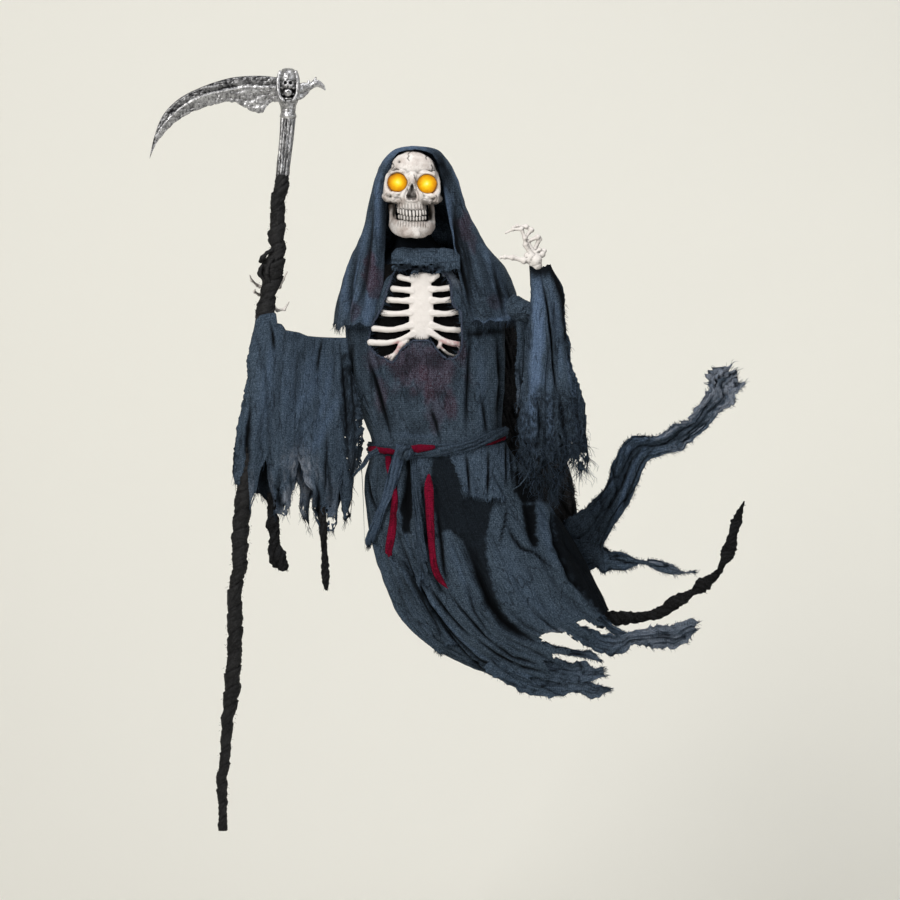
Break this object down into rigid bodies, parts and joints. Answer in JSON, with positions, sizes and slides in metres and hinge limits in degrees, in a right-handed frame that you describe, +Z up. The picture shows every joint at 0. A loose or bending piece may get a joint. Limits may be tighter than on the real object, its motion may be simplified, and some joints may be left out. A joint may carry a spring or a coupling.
{
  "type": "hanging grim reaper figure",
  "caption": "Hanging grim reaper figure: skull with glowing eyes, rib cage, torn hooded gauze robe swept to one side, raised skeleton hand and a cloth-wrapped scythe.",
  "frame": {"origin": "crown of the hood, at the point where the figure hangs", "axes": "+Z up, +X to the viewer's right, the skirt's swept side, -Y out of the face towards the viewer"},
  "size_m": [1.4427, 0.382, 1.826],
  "materials": {
    "blue_gauze": "open-weave gauze, dull, slate blue-grey with dark stains and torn edges",
    "black_gauze": "torn black gauze, dull",
    "crimson_cloth": "thin crimson cloth, slightly shiny",
    "bone_plastic": "matt ivory plastic with grey-brown wash in the hollows",
    "amber_lens": "glossy translucent amber, lit from inside",
    "silver_paint": "plastic painted old silver, hammered, with black wash in the hollows",
    "black_wrap": "black cloth strip wound round the shaft, dull"
  },
  "bodies": {
    "root": {"skull": "bone_plastic", "eye_left": "amber_lens", "eye_right": "amber_lens", "hooded_cape": "blue_gauze", "collar": "blue_gauze", "robe": "blue_gauze", "chest_lining": "black_gauze", "rib_cage": "bone_plastic", "sash": "blue_gauze", "ribbon": "crimson_cloth", "sleeve_holding_scythe": "blue_gauze", "sleeve_raised": "blue_gauze", "hand_holding_scythe": "bone_plastic", "hand_raised": "bone_plastic", "scythe_blade": "silver_paint", "scythe_socket": "silver_paint", "scythe_neck": "silver_paint", "scythe_shaft": "black_wrap", "back_drape": "black_gauze", "tail_black": "black_gauze", "tail_upper": "blue_gauze", "tail_middle": "blue_gauze", "cuff_strip_wide": "black_gauze", "cuff_strip_narrow": "black_gauze"}
  },
  "joints": []
}
